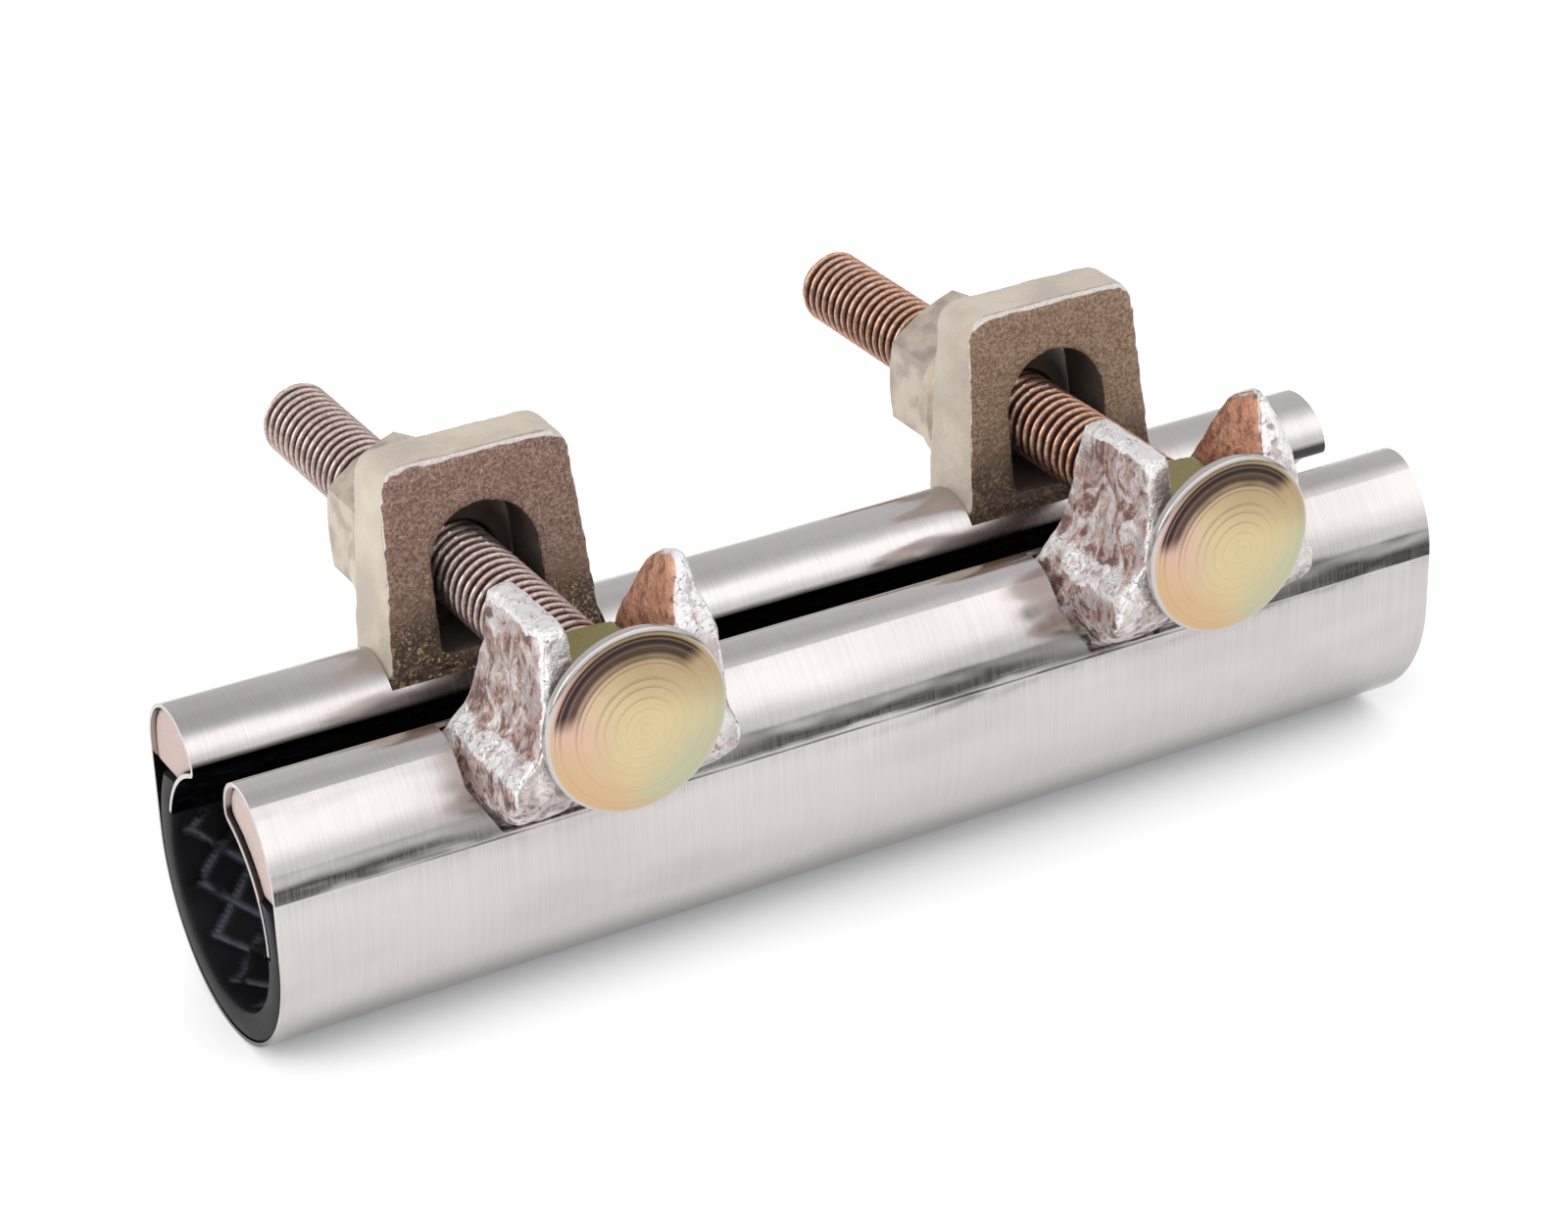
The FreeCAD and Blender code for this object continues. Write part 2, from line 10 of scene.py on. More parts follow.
import bpy
import numpy as np
from bpy.props import FloatProperty, FloatVectorProperty, IntProperty, PointerProperty
from bpy.types import Operator, Panel, PropertyGroup
from mathutils import Matrix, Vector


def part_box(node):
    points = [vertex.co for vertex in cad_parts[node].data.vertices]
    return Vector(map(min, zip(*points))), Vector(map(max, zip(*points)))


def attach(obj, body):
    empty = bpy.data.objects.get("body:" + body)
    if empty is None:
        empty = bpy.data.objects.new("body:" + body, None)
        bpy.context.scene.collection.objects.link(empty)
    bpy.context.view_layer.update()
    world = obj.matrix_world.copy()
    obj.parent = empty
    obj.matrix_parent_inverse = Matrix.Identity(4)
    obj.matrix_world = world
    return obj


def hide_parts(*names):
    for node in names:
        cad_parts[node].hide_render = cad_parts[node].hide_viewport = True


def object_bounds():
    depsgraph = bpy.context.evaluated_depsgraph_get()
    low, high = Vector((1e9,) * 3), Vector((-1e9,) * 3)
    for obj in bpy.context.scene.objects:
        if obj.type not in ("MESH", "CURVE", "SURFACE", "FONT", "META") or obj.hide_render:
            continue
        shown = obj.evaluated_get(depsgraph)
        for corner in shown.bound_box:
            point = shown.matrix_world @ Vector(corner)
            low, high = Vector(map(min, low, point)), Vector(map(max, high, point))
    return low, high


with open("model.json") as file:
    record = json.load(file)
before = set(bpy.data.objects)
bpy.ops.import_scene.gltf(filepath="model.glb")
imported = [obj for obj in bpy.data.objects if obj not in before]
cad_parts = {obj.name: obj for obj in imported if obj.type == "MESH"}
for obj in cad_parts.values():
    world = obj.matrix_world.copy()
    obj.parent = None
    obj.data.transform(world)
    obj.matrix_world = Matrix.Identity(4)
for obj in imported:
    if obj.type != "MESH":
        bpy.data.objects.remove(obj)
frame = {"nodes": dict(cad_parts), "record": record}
cad_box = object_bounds()

bl_info = {
    "name": "Pipe repair clamp",
    "version": (1, 0, 0),
    "blender": (4, 5, 0),
    "location": "3D View > Sidebar > Clamp",
    "description": "Finished surfaces of a stainless pipe repair clamp on its packed frame",
    "category": "Object",
}

SIDES = ("left", "right")
MM = 0.001
FULL_TURN = 2 * math.pi


def mount_radius():
    """Radius of the pipe that the clamp closes on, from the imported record."""
    return next(m["dims"]["r_mm"] for m in frame["record"]["mounts"] if m["name"] == "pipe_bore") * MM


def length(name, description, default, low=0):
    """A property that holds a length in metres, or a place where the lowest is negative."""
    return FloatProperty(
        name=name, description=description, default=default, min=low, precision=5, subtype="DISTANCE", unit="LENGTH")


def angle(name, description, degrees):
    """A property that holds an angle."""
    return FloatProperty(
        name=name, description=description, default=math.radians(degrees), subtype="ANGLE", unit="ROTATION")


def colour(name, description, code):
    """A property that holds a colour, its default given as the six figures of a web colour."""
    levels = [int(code[i:i + 2], 16) / 255 for i in (0, 2, 4)]
    linear = [v / 12.92 if v <= 0.04045 else ((v + 0.055) / 1.055) ** 2.4 for v in levels]
    return FloatVectorProperty(
        name=name, description=description, default=linear, min=0, max=1, size=3, subtype="COLOR")


class BandSettings(PropertyGroup):
    """Stainless band."""

    steel: colour("Steel", "Colour of the brushed sheet", "C6C1BF")
    tint: colour("Tint", "Colour of the duller patches", "B3AEAC")
    # painted shade: Inner is the near black painted on the tails inside the clamp, for the shade there
    inner: colour("Inner", "Dark film on the tails inside the clamp", "1F1B1C")


class GasketSettings(PropertyGroup):
    """Rubber gasket with crossing grooves."""

    fork_top: length("Fork side top", "Height of the gasket's end on the fork side", 6.1 * MM)
    lug_step: length("Lug step", "Height of the step under the lug tail", 3.9 * MM)
    fork_step: length("Fork step", "Height of the step under the fork tail", -0.7 * MM, low=-1)
    step_depth: length("Step depth", "How much thinner the gasket is over the tails", 0.66 * MM)
    pitch: length("Pitch", "Distance between the grooves, along the pipe", 6.4 * MM)
    groove: length("Groove", "Width of a groove", 0.9 * MM)
    depth: length("Depth", "Depth of a groove", 0.45 * MM)
    lip: length("Lip", "Plain lip at both ends", 2.2 * MM)
    rubber: colour("Rubber", "Colour of the rubber", "100F11")


class CastingSettings(PropertyGroup):
    """Zinc castings: the bar with the forks and the bar with the lugs."""

    voxel: length("Voxel", "Size of the mesh's cells", 0.36 * MM)
    reach: length("Reach", "How far from a bolt's axis along the pipe the castings are worn", 17 * MM)
    lug_grain: length("Lug grain", "Depth of the lugs' sand-cast grain", 0.09 * MM)
    fork_lumps: length("Fork lumps", "Depth of the forks' broad hollows", 0.75 * MM)
    fork_grain: length("Fork grain", "Depth of the forks' grain", 0.22 * MM)
    fork_pale: colour("Fork pale", "Bright metal of the forks", "E4E0DD")
    fork_grey: colour("Fork grey", "Grey of the forks' fronts", "B7B1B2")
    fork_pink: colour("Fork pink", "Pinkish skin on the forks' sides", "B08F80")
    fork_copper: colour("Fork copper", "Copper colour inside the fins", "C89072")
    lug_brown: colour("Lug brown", "Brown skin of the lugs' fronts", "A98E7E")
    lug_dark: colour("Lug dark", "Dark pits of the lugs' fronts", "735547")
    lug_beige: colour("Lug beige", "Smooth sides and tops of the lugs", "D0C5B4")
    lug_gold: colour("Lug gold", "Glints in the lugs' feet", "E6CB96")
    # painted shade: this colour is painted on the slots' walls for the shade inside them
    slot_shade: colour("Lug slot", "Dark skin inside the lugs' slots", "3E2F28")
    bar_end: colour("Bar end", "Cut ends of the bars", "BDABA6")


class BoltSettings(PropertyGroup):
    """Bolts."""

    columns: IntProperty(name="Columns", description="Facets round a bolt", default=72, min=24, max=144)
    thread_steps: IntProperty(name="Thread steps", description="Rows of facets in each pitch", default=12, min=8)
    pitch: length("Pitch", "Pitch of the thread", 1.5875 * MM)
    thread_depth: length("Thread depth", "Depth of the thread", 0.95 * MM)
    shaft_radius: length("Shaft radius", "Radius over the thread", 4.7625 * MM)
    head_rim: length("Head rim", "Thickness of the head's rim", 1.2 * MM)
    under_head: length("Under head", "Place of the head's back face", -26.95 * MM, low=-1)
    neck_half: length("Neck half", "Half the width of the square neck", 4.75 * MM)
    neck_length: length("Neck length", "Length of the square neck", 13.0 * MM)
    chamfer: length("Chamfer", "Chamfer of the tip", 1.0 * MM)
    head_yellow: colour("Head yellow", "Yellow passivation of the head", "C5B58B")
    head_green: colour("Head green", "Green passivation of the head", "A9AE93")
    head_orange: colour("Head orange", "Orange passivation of the head", "C3A07C")
    head_pink: colour("Head pink", "Pink passivation of the head", "C8A197")
    neck_olive: colour("Neck olive", "Passivation of the square neck", "8A7F4E")
    thread_left: colour("Thread left", "Thread of the left bolt", "BCA49C")
    thread_right: colour("Thread right", "Thread of the right bolt", "C68F70")
    thread_root_shade: colour("Thread root", "Roots of the thread", "33231F")


class WasherSettings(PropertyGroup):
    """Domed washers."""

    ball: length("Ball", "Radius of the dome", 12.0 * MM)
    ball_centre: length("Ball centre", "Place of the dome's centre", 25.5865 * MM)
    ball_edge: length("Ball edge", "Radius at which the dome ends", 9.0 * MM)
    nose: length("Nose", "Radius of the flat round the hole", 6.6 * MM)
    bore: length("Bore", "Radius of the hole", 5.1125 * MM)
    rim: length("Rim", "Thickness of the rim", 2.6 * MM)
    skin: colour("Skin", "Colour of the washers", "CDBFAA")


class NutSettings(PropertyGroup):
    """Nuts."""

    half_flats: length("Half flats", "Half the width across the flats", 8.73 * MM)
    face_inset: length("Face inset", "How far the face's circle is inside the flats", 0.4 * MM)
    bore: length("Bore", "Radius of the hole", 4.8125 * MM)
    mouth: length("Mouth", "Chamfer of the hole", 0.55 * MM)
    skin: colour("Skin", "Colour of the nuts", "C6B9A8")
    shade: colour("Shade", "Duller patches of the nuts", "AA9B92")


class StageSettings(PropertyGroup):
    """Floor, light and camera."""

    floor_size: length("Floor size", "Side of the floor", 8.0)
    floor: colour("Floor", "Colour of the floor", "F7F7F7")
    glow: FloatProperty(
        name="Glow", description="How much of its own colour the floor adds to the light on it", default=0.22, min=0)
    azimuth: angle("Azimuth", "Turn of the camera about the clamp", -29.12)
    elevation: angle("Elevation", "Height of the camera as an angle", 27.81)
    roll: angle("Roll", "Roll of the camera", 1.52)
    distance: length("Distance", "Distance of the camera along its own axis", 461.81 * MM)
    aside: length("Aside", "How far the clamp's centre is right of the camera's axis", 4.206 * MM)
    below: length("Below", "How far the clamp's centre is below the camera's axis", 12.24 * MM)
    lens: FloatProperty(name="Lens", description="Focal length in millimetres", default=90, min=10)


# Surfaces


def add_piece(name, vertices, faces, material, body, nodes, sharp=30):
    """Puts arrays of points and four-cornered or three-cornered faces into a piece that rides on a body."""
    mesh = bpy.data.meshes.new(name)
    mesh.from_pydata(vertices, [], faces)
    mesh.materials.append(material)
    return place_piece(name, mesh, body, nodes, sharp)


def place_piece(name, mesh, body, nodes, sharp):
    """Links a finished mesh, smooth up to an angle in degrees, in place of the nodes it stands for."""
    mesh.shade_smooth()
    mesh.set_sharp_from_angle(angle=math.radians(sharp))
    piece = bpy.data.objects.new(name, mesh)
    bpy.context.scene.collection.objects.link(piece)
    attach(piece, body)
    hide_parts(*nodes)
    return piece


def outward(vertices, faces):
    """The faces, turned round if the volume they close is negative, so that they point outwards.

    The volume is a sixth of the sum of a . (b x c) over the triangles of the quads."""
    corners = vertices[faces]
    volume = 0.0
    for second, third in ((1, 2), (2, 3)):
        cross = np.cross(corners[:, second], corners[:, third])
        volume += np.einsum("ij,ij->", corners[:, 0], cross)
    return faces if volume > 0 else faces[:, ::-1]


def grid_faces(rows, columns, closed_rows):
    """Quads of a grid whose columns close round, and whose rows close too where asked."""
    row = np.arange(rows if closed_rows else rows - 1)[:, None]
    column = np.arange(columns)[None, :]
    below, beside = (row + 1) % rows, (column + 1) % columns
    quads = [row * columns + column, row * columns + beside, below * columns + beside, below * columns + column]
    return np.stack(np.broadcast_arrays(*quads), axis=-1).reshape(-1, 4)


def closed_by_poles(rings):
    """Vertices and faces of a grid of rings whose first and last ring each close on a point."""
    rows, columns = rings.shape[:2]
    poles = np.stack([rings[0].mean(axis=0), rings[-1].mean(axis=0)])
    vertices = np.concatenate([rings.reshape(-1, 3), poles])
    around = np.arange(columns)
    beside = (around + 1) % columns
    first, last = rows * columns, rows * columns + 1
    start = np.stack([beside, around, np.full(columns, first), np.full(columns, first)], axis=-1)
    base = (rows - 1) * columns
    end = np.stack([base + around, base + beside, np.full(columns, last), np.full(columns, last)], axis=-1)
    faces = outward(vertices, np.concatenate([grid_faces(rows, columns, False), start, end]))
    return vertices, [tuple(dict.fromkeys(face)) for face in faces.tolist()]


def closed_as_ring(rings):
    """Vertices and faces of a grid that closes in both directions, as round a hole."""
    vertices = rings.reshape(-1, 3)
    return vertices, outward(vertices, grid_faces(*rings.shape[:2], True)).tolist()


def bolt_place(side):
    """X and Z of a bolt's axis, from the middle of its box."""
    low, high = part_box("bolt_" + side)
    return (low.x + high.x) / 2, (low.z + high.z) / 2


def about_bolt(side, places, radii):
    """Points at the radii (rows, columns) and places along Y (rows) about a bolt's axis.

    x = axis x + radius cos t, y = place, z = axis z + radius sin t, with t once round over the columns."""
    centre_x, centre_z = bolt_place(side)
    turn = angles(radii.shape[1])
    along = np.broadcast_to(places[:, None], radii.shape)
    return np.stack([centre_x + radii * np.cos(turn), along, centre_z + radii * np.sin(turn)], axis=-1)


def angles(columns):
    """Angles of the columns, once round."""
    return np.arange(columns) * FULL_TURN / columns


def quarter(start, end, steps):
    """Cosines and sines of an arc between two angles in degrees."""
    turn = np.radians(np.linspace(start, end, steps))
    return np.cos(turn), np.sin(turn)


def lattice_noise(points, cell, seed):
    """Smooth noise from 0 to 1: random numbers at the corners of a lattice, blended inside each cell.

    The blend along each axis is 3 t t - 2 t t t, and a corner's number comes from whole-number hashing."""
    scaled = points / cell
    low = np.floor(scaled).astype(np.int64)
    part = scaled - low
    part = part * part * (3 - 2 * part)
    total = np.zeros(len(points))
    for corner in np.ndindex(2, 2, 2):
        at = (low + np.array(corner)) & 0xFFFF
        number = (at[:, 0] * 73856093) ^ (at[:, 1] * 19349663) ^ (at[:, 2] * 83492791) ^ (seed * 2654435761)
        number = (number ^ (number >> 13)) * 1274126177 & 0xFFFFFFFF
        number = (number ^ (number >> 16)) & 0xFFFF
        weight = np.prod(np.where(corner, part, 1 - part), axis=1)
        total += weight * number / 0xFFFF
    return total


# Finishes


# Tones that several surfaces share or that only mark them
PAINTED_BOTTOM_SHADE = (0.04, 0.035, 0.035)
SHEEN = (0.8, 0.78, 0.77)
RUST = (0.5, 0.38, 0.3)


class Value:
    """A number that a node gives. Arithmetic with it adds Math nodes to its finish."""

    def __init__(self, finish, socket):
        self.finish = finish
        self.socket = socket

    def math(self, operation, *values):
        return self.finish.node("ShaderNodeMath", {"operation": operation}, dict(enumerate(values)))

    def __add__(self, other):
        return self.math("ADD", self, other)

    __radd__ = __add__

    def __sub__(self, other):
        return self.math("SUBTRACT", self, other)

    def __rsub__(self, other):
        return self.math("SUBTRACT", other, self)

    def __mul__(self, other):
        return self.math("MULTIPLY", self, other)

    __rmul__ = __mul__

    def __truediv__(self, other):
        return self.math("DIVIDE", self, other)

    def __rtruediv__(self, other):
        return self.math("DIVIDE", other, self)

    def __pow__(self, other):
        return self.math("POWER", self, other)

    def __rpow__(self, other):
        return self.math("POWER", other, self)

    def __abs__(self):
        return self.math("ABSOLUTE", self)


class Finish:
    """A material or world in the making; a material's is on object coordinates in millimetres."""

    def __init__(self, name, kept=None):
        self.kept = kept or bpy.data.materials.new(name)
        self.kept.use_nodes = True
        self.tree = self.kept.node_tree
        self.tree.nodes.clear()

    def node(self, kind, settings=None, sockets=None, out=0):
        """Adds a node, sets its settings, then its sockets' values or links, and gives one output."""
        added = self.tree.nodes.new(kind)
        for name, value in (settings or {}).items():
            setattr(added, name, value)
        for key, value in (sockets or {}).items():
            if isinstance(value, Value):
                self.tree.links.new(value.socket, added.inputs[key])
            else:
                added.inputs[key].default_value = value
        return Value(self, added.outputs[out]) if added.outputs else None

    def millimetres(self):
        """Object coordinates in millimetres."""
        place = self.node("ShaderNodeTexCoord", out="Object")
        return self.node("ShaderNodeVectorMath", {"operation": "SCALE"}, {0: place, "Scale": 1 / MM})

    def facing(self):
        """X, Y and Z of the surface's normal in the object's own axes."""
        return self.split(self.node("ShaderNodeTexCoord", out="Normal"))

    def split(self, vector):
        """X, Y and Z of a vector."""
        parts = self.tree.nodes.new("ShaderNodeSeparateXYZ")
        self.tree.links.new(vector.socket, parts.inputs[0])
        return [Value(self, output) for output in parts.outputs]

    def stretched(self, vector, factors):
        """A vector times three numbers."""
        return self.node("ShaderNodeVectorMath", {"operation": "MULTIPLY"}, {0: vector, 1: factors})

    def noise(self, vector, scale, detail=4, roughness=0.6, distortion=0):
        """Fractal noise from 0 to 1."""
        return self.node("ShaderNodeTexNoise", None, {
            "Vector": vector, "Scale": scale, "Detail": detail, "Roughness": roughness, "Distortion": distortion})

    def cracks(self, vector, scale):
        """Distance to the nearest border of a broken-up pattern of cells."""
        return self.node(
            "ShaderNodeTexVoronoi", {"feature": "DISTANCE_TO_EDGE"}, {"Vector": vector, "Scale": scale})

    def step(self, value, low, high):
        """0 below one number, 1 above the other, smooth between them."""
        return self.node("ShaderNodeMapRange", {"interpolation_type": "SMOOTHSTEP"}, {
            0: value, 1: low, 2: high, 3: 0, 4: 1})

    def mixed(self, factor, first, second):
        """The first colour at factor 0, the second at 1."""
        return self.node("ShaderNodeMix", {"data_type": "RGBA"}, {
            0: factor, 6: shown(first), 7: shown(second)}, out=2)

    def bump(self, height, strength, depth, below=None):
        """A bent normal, for a height from 0 to 1 that stands for a depth in millimetres."""
        sockets = {"Height": height, "Strength": strength, "Distance": depth * MM}
        if below:
            sockets["Normal"] = below
        return self.node("ShaderNodeBump", None, sockets)

    def surface(self, **sockets):
        """Ends the finish with its shader; a word's underscores stand for spaces."""
        named = {name.replace("_", " "): value for name, value in sockets.items()}
        shader = self.node("ShaderNodeBsdfPrincipled", None, {
            name: value if isinstance(value, Value) else shown(value) for name, value in named.items()})
        self.node("ShaderNodeOutputMaterial", None, {"Surface": shader})
        return self.kept


def shown(value):
    """A colour with its alpha; anything else as it is."""
    if isinstance(value, (Value, int, float)):
        return value
    return (*value[:3], 1)


def steel_finish(settings):
    """Brushed stainless sheet: fine lines round the pipe, duller patches, faint dents, dull beside the castings,
    painted shade towards the bottom and on the tails inside.
    """
    made = Finish("brushed_stainless")
    place = made.millimetres()
    x, y, z = made.split(place)
    lines = made.noise(made.stretched(place, (5.0, 0.1, 0.1)), 1.0, 3, 0.6)
    patches = made.noise(made.stretched(place, (0.03, 0.09, 0.09)), 1.0, 3, 0.5)
    dents = made.noise(made.stretched(place, (0.07, 0.16, 0.16)), 1.0, 2, 0.4)
    streak = made.step(lines, 0.3, 0.7)
    tone = made.mixed(made.step(patches, 0.4, 0.65) * 0.5 + streak * 0.3, settings.steel, settings.tint)
    # painted shade: the sheet darkens to near black towards its bottom, standing in for the floor's shadow that it
    # reflects
    tone = made.mixed((1 - made.step(z, -15.6, -6.5)) * 0.97, tone, PAINTED_BOTTOM_SHADE)
    # painted shade: the tails inside the clamp are painted near black, for the shade inside it
    inside = (1 - made.step((y * y + z * z) ** 0.5, 14.6, 15.4)) * (1 - made.step(abs(x), 76.05, 76.15))
    tone = made.mixed(inside * 0.92, tone, settings.inner)
    # rubbed dull beside the castings' feet
    rubbed = (1 - made.step(abs(across_bolt(x)), 12.0, 25.0)) * made.step(z, 7.0, 11.0)
    rough = 0.08 + streak * 0.05 + patches * 0.05 + rubbed * 0.13
    # the front starts to lean back a little lower than the sheet's plain round does
    lean = made.step(z, 3.5, 11.0) * 0.64 + made.step(z, 9.0, 17.0) * 0.36
    lean = 1 - lean * (1 - made.step(y, -8.0, -4.0))
    relief = made.bump(lines, 0.12, 0.004, made.bump(dents, 0.5, 0.4, made.bump(lean, 1.0, 2.1)))
    return made.surface(Base_Color=tone, Metallic=1.0, Roughness=rough, Normal=relief)


def rubber_finish(settings):
    """Black rubber with a faint bloom, and a painted highlight along the grooves."""
    made = Finish("black_rubber")
    place = made.millimetres()
    bloom = made.noise(place, 0.35, 4, 0.6)
    grain = made.noise(place, 3.2, 3, 0.6)
    tone = made.mixed(made.step(bloom, 0.45, 0.75) * 0.5, settings.rubber, (0.012, 0.012, 0.016))
    # painted highlight: the grooves are painted lighter and bluer where the bloom is, for the glints along them
    groove = made.node("ShaderNodeAttribute", {"attribute_name": "groove"}, out="Fac")
    tone = made.mixed(groove * made.step(bloom, 0.35, 0.55), tone, (0.12, 0.12, 0.16))
    rough = 0.4 + grain * 0.2
    return made.surface(
        Base_Color=tone, Roughness=rough, Normal=made.bump(grain, 0.35, 0.06), Specular_IOR_Level=0.16)


def across_bolt(x):
    """Distance along X from the nearer bolt's axis, in millimetres."""
    spacing = abs(bolt_place("left")[0]) / MM
    return x - x.math("SIGN", x) * spacing


def fork_finish(settings):
    """Bright zinc casting: pale crackled bevels and tops, partly a painted highlight, grey fronts, pinkish sides,
    copper inside the fins.
    """
    made = Finish("bright_zinc_casting")
    place = made.millimetres()
    x, _, z = made.split(place)
    face_x, _, face_z = made.facing()
    edge = made.node("ShaderNodeAttribute", {"attribute_name": "edge"}, out="Fac")
    flow = made.noise(made.stretched(place, (0.3, 0.3, 0.2)), 1.0, 6, 0.68, 1.6)
    lumps = made.noise(place, 0.8, 4, 0.6)
    grain = made.noise(place, 2.6, 5, 0.7)
    broad = made.noise(place, 0.22, 3, 0.5)
    wander = made.node("ShaderNodeTexNoise", None, {"Vector": place, "Scale": 1.1, "Detail": 3}, out="Color")
    bent = made.node("ShaderNodeVectorMath", {"operation": "MULTIPLY_ADD"}, {0: wander, 1: (2.2, 2.2, 2.2), 2: place})
    crack = made.cracks(bent, 0.62)
    across = across_bolt(x)

    tone = made.mixed(made.step(broad, 0.35, 0.65), settings.fork_grey, settings.fork_pale)
    sides = made.step(abs(face_x), 0.35, 0.85)
    pink = made.step(flow, 0.4, 0.55) * (0.25 + sides * 0.65)
    tone = made.mixed(pink, tone, settings.fork_pink)
    stain, scorch, foot_brown = (0.14, 0.075, 0.065), (0.2, 0.07, 0.045), (0.06, 0.04, 0.035)
    tone = made.mixed(made.step(flow + lumps * 0.3, 0.66, 0.76) * (0.35 + sides * 0.5), tone, stain)
    # pale crackled skin on the bevels and tops, and partly a painted highlight: upward faces and outer edges are
    # painted near white
    bevel_and_highlight = made.step(face_z * 0.8 + edge * 0.9 + (lumps - 0.5) * 1.2, 0.42, 0.6)
    tone = made.mixed(bevel_and_highlight, tone, SHEEN)
    inside = made.step(0 - face_x, 0.45, 0.8) * made.step(across, 3.5, 4.5) * made.step(z, 17.0, 21.0)
    scorched = made.step(flow * 0.5 + lumps * 0.5, 0.46, 0.58) * 0.75
    copper = made.mixed(scorched, settings.fork_copper, scorch)
    copper = made.mixed(1 - made.step(z + grain * 6, 25.0, 29.0), copper, (0.24, 0.13, 0.12))
    tone = made.mixed(inside * 0.95, tone, copper)
    shown_here = made.step(lumps + broad * 0.6, 0.72, 0.88) * (0.35 + bevel_and_highlight * 0.65)
    lines = (1 - made.step(crack, 0.0, 0.045)) * shown_here
    tone = made.mixed(lines * 0.8, tone, (0.09, 0.075, 0.07))
    specks = made.step(grain, 0.62, 0.7) * (1 - bevel_and_highlight * 0.6)
    tone = made.mixed(specks * 0.75, tone, (0.08, 0.06, 0.055))
    foot = (1 - made.step(z, 13.0, 21.0)) * made.step(lumps, 0.5, 0.62)
    tone = made.mixed(foot * 0.85, tone, foot_brown)
    ends = made.step(abs(x), 75.4, 75.6)
    tone = made.mixed(ends, tone, made.mixed(made.step(grain, 0.45, 0.6), settings.bar_end, RUST))
    metal = 0.7 - ends * 0.65 - inside * 0.2
    rough = 0.26 + grain * 0.24 + specks * 0.2
    relief = made.bump(grain - lines * 0.8, 0.6, 0.15, made.bump(lumps, 0.8, 0.55))
    return made.surface(Base_Color=tone, Metallic=metal, Roughness=rough, Normal=relief)


def lug_finish(settings):
    """Brown zinc casting: gritty fronts, smooth beige sides and tops, gold glints in the feet, painted shade in the
    slots and a painted highlight along the fronts' rims.
    """
    made = Finish("brown_zinc_casting")
    place = made.millimetres()
    x, _, z = made.split(place)
    _, face_y, _ = made.facing()
    edge = made.node("ShaderNodeAttribute", {"attribute_name": "edge"}, out="Fac")
    grain = made.noise(place, 2.5, 6, 0.8)
    pits = made.noise(place, 0.9, 5, 0.65)
    broad = made.noise(place, 0.12, 3, 0.5)

    across = abs(across_bolt(x))
    front = made.step(0 - face_y, 0.3, 0.6)
    gritty = made.mixed(made.step(grain * 0.85 + pits * 0.15, 0.42, 0.6), settings.lug_brown, settings.lug_dark)
    sparkle, golden, golden_pit = (0.72, 0.6, 0.5), (0.42, 0.3, 0.17), (0.2, 0.13, 0.07)
    gritty = made.mixed(made.step(grain, 0.42, 0.32) * 0.9, gritty, sparkle)
    golden_skin = made.mixed(made.step(grain, 0.4, 0.6), golden, golden_pit)
    gritty = made.mixed(made.step(x, -20, 20) * 0.5, gritty, golden_skin)
    smooth = made.mixed(made.step(broad + grain * 0.25, 0.45, 0.8), settings.lug_beige, (0.5, 0.43, 0.36))
    tone = made.mixed(front, smooth, gritty)
    # painted shade: the walls inside each slot are painted dark
    slot = (1 - made.step(across, 6.9, 7.1)) * (1 - made.step(z, 34.8, 35.0)) * made.step(z, 16.0, 17.0)
    tone = made.mixed(slot * (1 - front) * 0.92, tone, settings.slot_shade)
    # painted highlight: a pale line along the outer rims where the fronts turn, with more metal and less roughness
    # there
    outer = made.step(across, 8.6, 9.4) + made.step(z, 37.0, 38.0)
    turning = made.step(0 - face_y, 0.45, 0.6) * (1 - made.step(0 - face_y, 0.85, 0.95))
    rim = turning * made.step(z, 22.0, 26.0) * outer * made.step(edge, 0.3, 0.6)
    rim = made.step(rim * (0.6 + grain), 0.3, 0.8)
    tone = made.mixed(rim * 0.8, tone, (0.83, 0.8, 0.76))
    foot = (1 - made.step(z, 20.0, 27.0)) * front
    tone = made.mixed(foot * made.step(pits, 0.34, 0.5) * 0.85, tone, (0.07, 0.045, 0.035))
    glint = foot * made.step(grain + pits * 0.5, 0.78, 0.85) * (1 - made.step(x, -20, 0) * 0.6)
    tone = made.mixed(glint, tone, settings.lug_gold)
    ends = made.step(abs(x), 75.4, 75.6)
    tone = made.mixed(ends, tone, made.mixed(made.step(grain, 0.45, 0.6), settings.bar_end, RUST))
    metal = 0.3 + glint * 0.4 + rim * 0.3 + front * 0.2
    rough = 0.58 - glint * 0.3 - rim * 0.25 - front * 0.12
    relief = made.bump(grain, 0.3 + front * 0.65, 0.22, made.bump(pits, 0.35 + foot * 0.65, 1.1))
    return made.surface(Base_Color=tone, Metallic=metal, Roughness=rough, Normal=relief)


